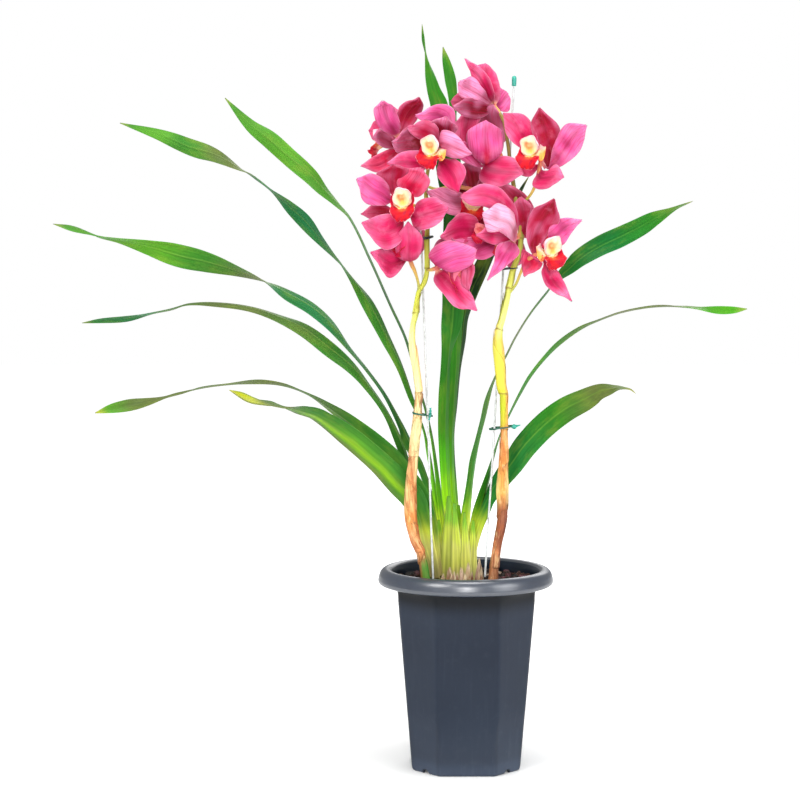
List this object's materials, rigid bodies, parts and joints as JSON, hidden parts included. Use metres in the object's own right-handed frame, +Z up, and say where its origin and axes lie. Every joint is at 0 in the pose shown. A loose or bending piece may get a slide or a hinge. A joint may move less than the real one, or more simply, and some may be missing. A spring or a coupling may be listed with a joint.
{
  "type": "potted orchid",
  "caption": "Flowering cymbidium orchid with arching strap leaves and pink flower spikes on wire stakes, in a tall grey plastic pot.",
  "frame": {"origin": "on the floor under the middle of the whole plant's outline; the pot's axis stands at X +70 mm, Y +25 mm", "axes": "+Z up, -Y towards the front that the flowers face, +X to the right seen from the front"},
  "size_m": [0.6583, 0.251, 0.7472],
  "materials": {
    "pot_plastic": "satin dark slate grey, injection moulded",
    "bark": "damp dark bark chips",
    "bulb": "pale yellow-green, ridged",
    "spike": "yellow-green stem with papery tan sheaths",
    "stake_wire": "white coated wire",
    "cap": "teal plastic tip",
    "tie": "dark green coated wire",
    "leaf": "satin strap leaf, mid green",
    "dry_sheath": "dry papery tan",
    "tepal": "waxy pink with paler mauve areas",
    "lip": "cream with a red margin and a yellow callus"
  },
  "bodies": {
    "root": {"pot": "pot_plastic", "growing_medium": "bark", "pseudobulbs": "bulb", "flower_spike_left": "spike", "flower_spike_right": "spike", "stake_left": "stake_wire", "stake_right": "stake_wire", "stake_cap": "cap", "tie_left_lower": "tie", "tie_right_lower": "tie", "tie_left_upper": "tie", "tie_right_upper": "tie", "leaf_left_1": "leaf", "leaf_left_2": "leaf", "leaf_left_3": "leaf", "leaf_left_4": "leaf", "leaf_left_5": "leaf", "leaf_left_6": "leaf", "leaf_upright_1": "leaf", "leaf_upright_2": "leaf", "leaf_upright_3": "leaf", "leaf_right_1": "leaf", "leaf_right_2": "leaf", "leaf_right_3": "leaf", "dry_sheath_1": "dry_sheath", "dry_sheath_2": "dry_sheath", "dry_sheath_3": "dry_sheath", "flower_01": "tepal", "lip_01": "lip", "flower_02": "tepal", "lip_02": "lip", "flower_03": "tepal", "lip_03": "lip", "flower_04": "tepal", "lip_04": "lip", "flower_05": "tepal", "lip_05": "lip", "flower_06": "tepal", "lip_06": "lip", "flower_07": "tepal", "lip_07": "lip", "flower_08": "tepal", "lip_08": "lip", "flower_09": "tepal", "lip_09": "lip", "flower_10": "tepal", "lip_10": "lip", "flower_11": "tepal", "lip_11": "lip", "flower_12": "tepal", "lip_12": "lip", "flower_13": "tepal", "lip_13": "lip"}
  },
  "joints": []
}
